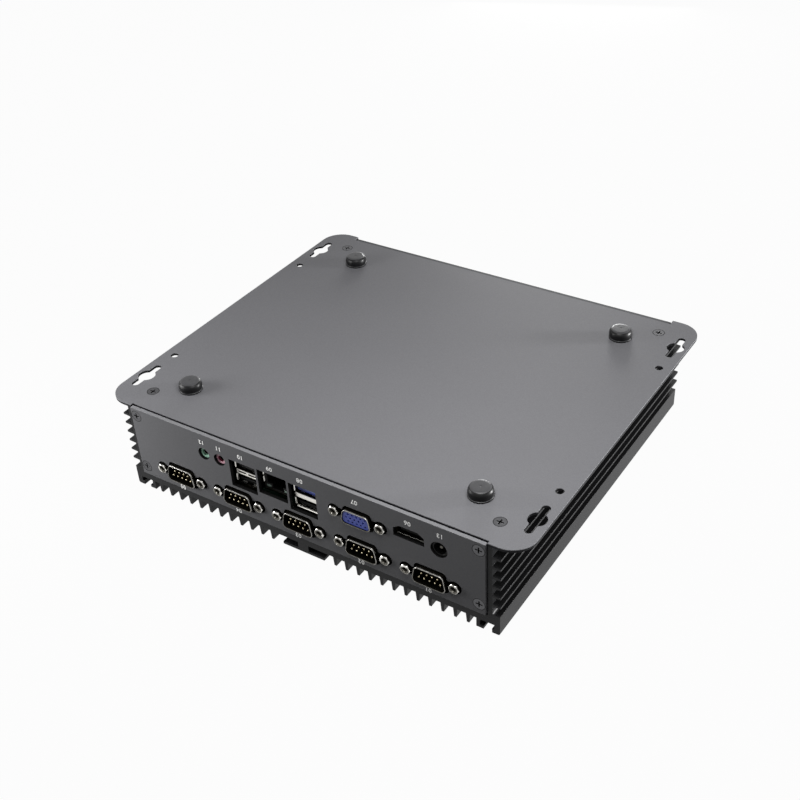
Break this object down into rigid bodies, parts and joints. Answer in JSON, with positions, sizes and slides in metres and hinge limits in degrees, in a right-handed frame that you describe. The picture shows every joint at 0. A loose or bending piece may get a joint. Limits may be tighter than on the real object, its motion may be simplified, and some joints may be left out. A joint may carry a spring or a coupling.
{
  "type": "fanless industrial pc",
  "caption": "Flat finned aluminium computer case lying turned over, with a flanged base plate, rubber feet and a rear panel of serial, video, network, data and power connectors.",
  "frame": {"origin": "middle of the whole object's footprint, in the plane of the fin tips that it lies on", "axes": "+Z is the outward normal of the base plate, because the unit is modelled turned over as pictured; -Y is the side of the rear panel with the connectors; +X is to the right of someone who looks at that panel"},
  "size_m": [0.2352, 0.203, 0.0567],
  "materials": {
    "housing": "black anodised, finely blasted, satin",
    "plate": "fine textured dark grey powder coat, matte",
    "panel": "fine textured dark grey powder coat, matte",
    "rubber": "matte black",
    "black_screw": "blackened steel",
    "tin_plate": "bright tin plate",
    "nickel": "bright nickel plate",
    "black_plastic": "moulded black",
    "blue_plastic": "moulded blue",
    "green_plastic": "moulded pale green",
    "maroon_plastic": "moulded dark pink",
    "gold_contact": "gold plated",
    "switch_metal": "turned stainless steel",
    "lamp": "clear lens, unlit",
    "circuit_board": "green solder resist",
    "brass_fitting": "nickel-free brass",
    "steel_screw": "zinc plated",
    "chip": "chip package",
    "pad": "soft silicone pad",
    "bare_aluminium": "milled"
  },
  "bodies": {
    "chassis": {"audio_jack": "green_plastic", "base_plate": "plate", "base_plate_screws": "black_screw", "board_screws": "steel_screw", "board_standoffs": "brass_fitting", "coin_cell": "nickel", "coin_cell_holder": "black_plastic", "com_board": "circuit_board", "com_insert_1": "black_plastic", "com_insert_2": "black_plastic", "com_insert_3": "black_plastic", "com_insert_4": "black_plastic", "com_insert_5": "black_plastic", "com_pins_1": "gold_contact", "com_pins_2": "gold_contact", "com_pins_3": "gold_contact", "com_pins_4": "gold_contact", "com_pins_5": "gold_contact", "com_shell_1": "tin_plate", "com_shell_2": "tin_plate", "com_shell_3": "tin_plate", "com_shell_4": "tin_plate", "com_shell_5": "tin_plate", "dc_jack_body": "black_plastic", "dc_jack_pin": "nickel", "front_panel": "panel", "front_panel_screws": "black_screw", "front_usb_shell": "tin_plate", "front_usb_tongues": "blue_plastic", "heat_block": "bare_aluminium", "heatsink_body": "housing", "jackscrews": "nickel", "lan_contacts": "gold_contact", "lan_jack_insert": "black_plastic", "lan_jack_shield": "tin_plate", "mainboard": "circuit_board", "memory_module": "circuit_board", "memory_socket": "black_plastic", "mic_jack": "maroon_plastic", "power_switch_body": "switch_metal", "power_switch_nut": "switch_metal", "processor": "chip", "rear_panel": "panel", "rear_panel_screws": "black_screw", "rubber_foot_1": "rubber", "rubber_foot_2": "rubber", "rubber_foot_3": "rubber", "rubber_foot_4": "rubber", "status_leds": "lamp", "storage_module": "circuit_board", "thermal_pad": "pad", "usb_shell_1": "tin_plate", "usb_shell_2": "tin_plate", "usb_tongues_1": "black_plastic", "usb_tongues_2": "blue_plastic", "vga_insert": "blue_plastic", "vga_shell": "tin_plate", "video_jack_shell": "tin_plate", "video_jack_tongue": "black_plastic"},
    "button": {"power_button": "switch_metal"}
  },
  "joints": [
    {"name": "power_button_press", "type": "slide", "parent": "chassis", "child": "button", "axis": [0, -1, 0], "range_m": [0, 0.0012], "stiffness_N_per_m": 1500}
  ]
}
